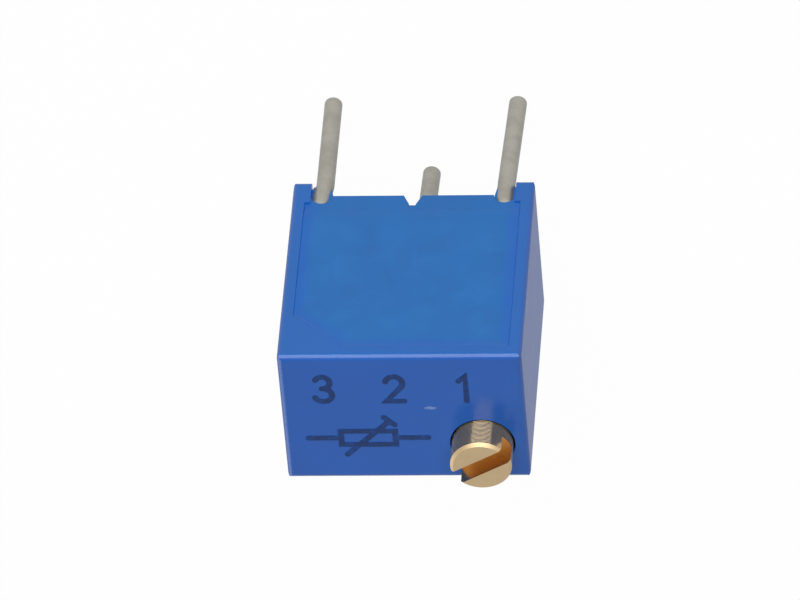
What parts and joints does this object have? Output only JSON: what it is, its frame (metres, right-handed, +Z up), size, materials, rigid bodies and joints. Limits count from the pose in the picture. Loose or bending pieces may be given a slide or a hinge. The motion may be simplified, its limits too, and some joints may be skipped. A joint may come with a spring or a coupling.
{
  "type": "trimmer potentiometer",
  "caption": "Small square sealed multi-turn trimmer with a slotted brass worm screw on top and round pins below.",
  "frame": {"origin": "on the board, under the middle of the body's outline", "axes": "+Z up from the board to the screw's face, +Y from the sealed face to the back, +X along the face away from the screw"},
  "size_m": [0.0068, 0.0046, 0.0116],
  "materials": {
    "housing": "glossy blue moulding",
    "resin": "blue potting resin, slightly mottled",
    "screw": "turned, satin",
    "o_ring": "smooth",
    "clip": "pressed sheet",
    "rotor": "moulded",
    "wiper": "thin spring strip",
    "substrate": "fired alumina",
    "track": "fired cermet film",
    "film": "fired metal film",
    "solder": "soft solder",
    "pins": "dull tin plating"
  },
  "bodies": {
    "body": {"housing": "housing", "epoxy_seal": "resin", "screw_retaining_clip": "clip", "ceramic_substrate": "substrate", "resistive_track": "track", "end_conductors": "film", "collector_conductor": "film", "solder_joints": "solder", "terminal_pin_1": "pins", "terminal_pin_2": "pins", "terminal_pin_3": "pins"},
    "screw": {"adjustment_screw": "screw", "screw_o_ring": "o_ring"},
    "rotor": {"worm_gear": "rotor", "wiper_contact": "wiper"}
  },
  "joints": [
    {"name": "screw_turn", "type": "hinge", "parent": "body", "child": "screw", "pos_m": [-0.00211, 0.001, 0.00365], "axis": [0, 0, 1], "range_deg": [-2160, 2160]},
    {"name": "rotor_turn", "type": "hinge", "parent": "body", "child": "rotor", "pos_m": [0.00044, 0.001, 0.00365], "axis": [0, 1, 0], "range_deg": [-127.5, 127.5]}
  ],
  "couplings": [
    {"joint": "rotor_turn", "follows": "screw_turn", "ratio": -0.058824}
  ]
}
